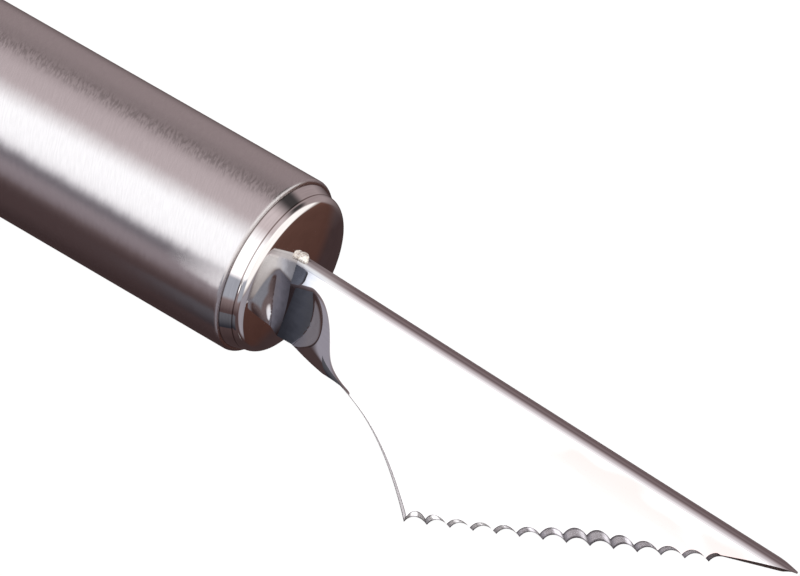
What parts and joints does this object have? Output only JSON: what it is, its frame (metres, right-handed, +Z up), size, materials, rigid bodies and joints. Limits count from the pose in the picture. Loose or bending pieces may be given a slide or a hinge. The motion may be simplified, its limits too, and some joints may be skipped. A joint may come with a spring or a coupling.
{
  "type": "fruit carving knife",
  "caption": "Fruit carving knife: a V-shaped blade folded from steel sheet, with scalloped edges and a pointed tip, on a round hollow steel handle.",
  "frame": {"origin": "on the surface the knife lies on, under the middle of its bounding box", "axes": "+X runs from the handle's rear end towards the tip, +Y to the left of that, +Z up; the spine of the blade is up"},
  "size_m": [0.2016, 0.022, 0.0261],
  "materials": {
    "brushed_handle": "stainless steel brushed around the handle",
    "polished_cap": "polished stainless steel",
    "polished_blade": "mirror-polished stainless steel sheet",
    "weld_metal": "pale, dull weld metal"
  },
  "bodies": {
    "root": {"handle_tube": "brushed_handle", "front_cap": "polished_cap", "rear_cap": "polished_cap", "blade": "polished_blade", "weld_bead": "weld_metal"}
  },
  "joints": []
}
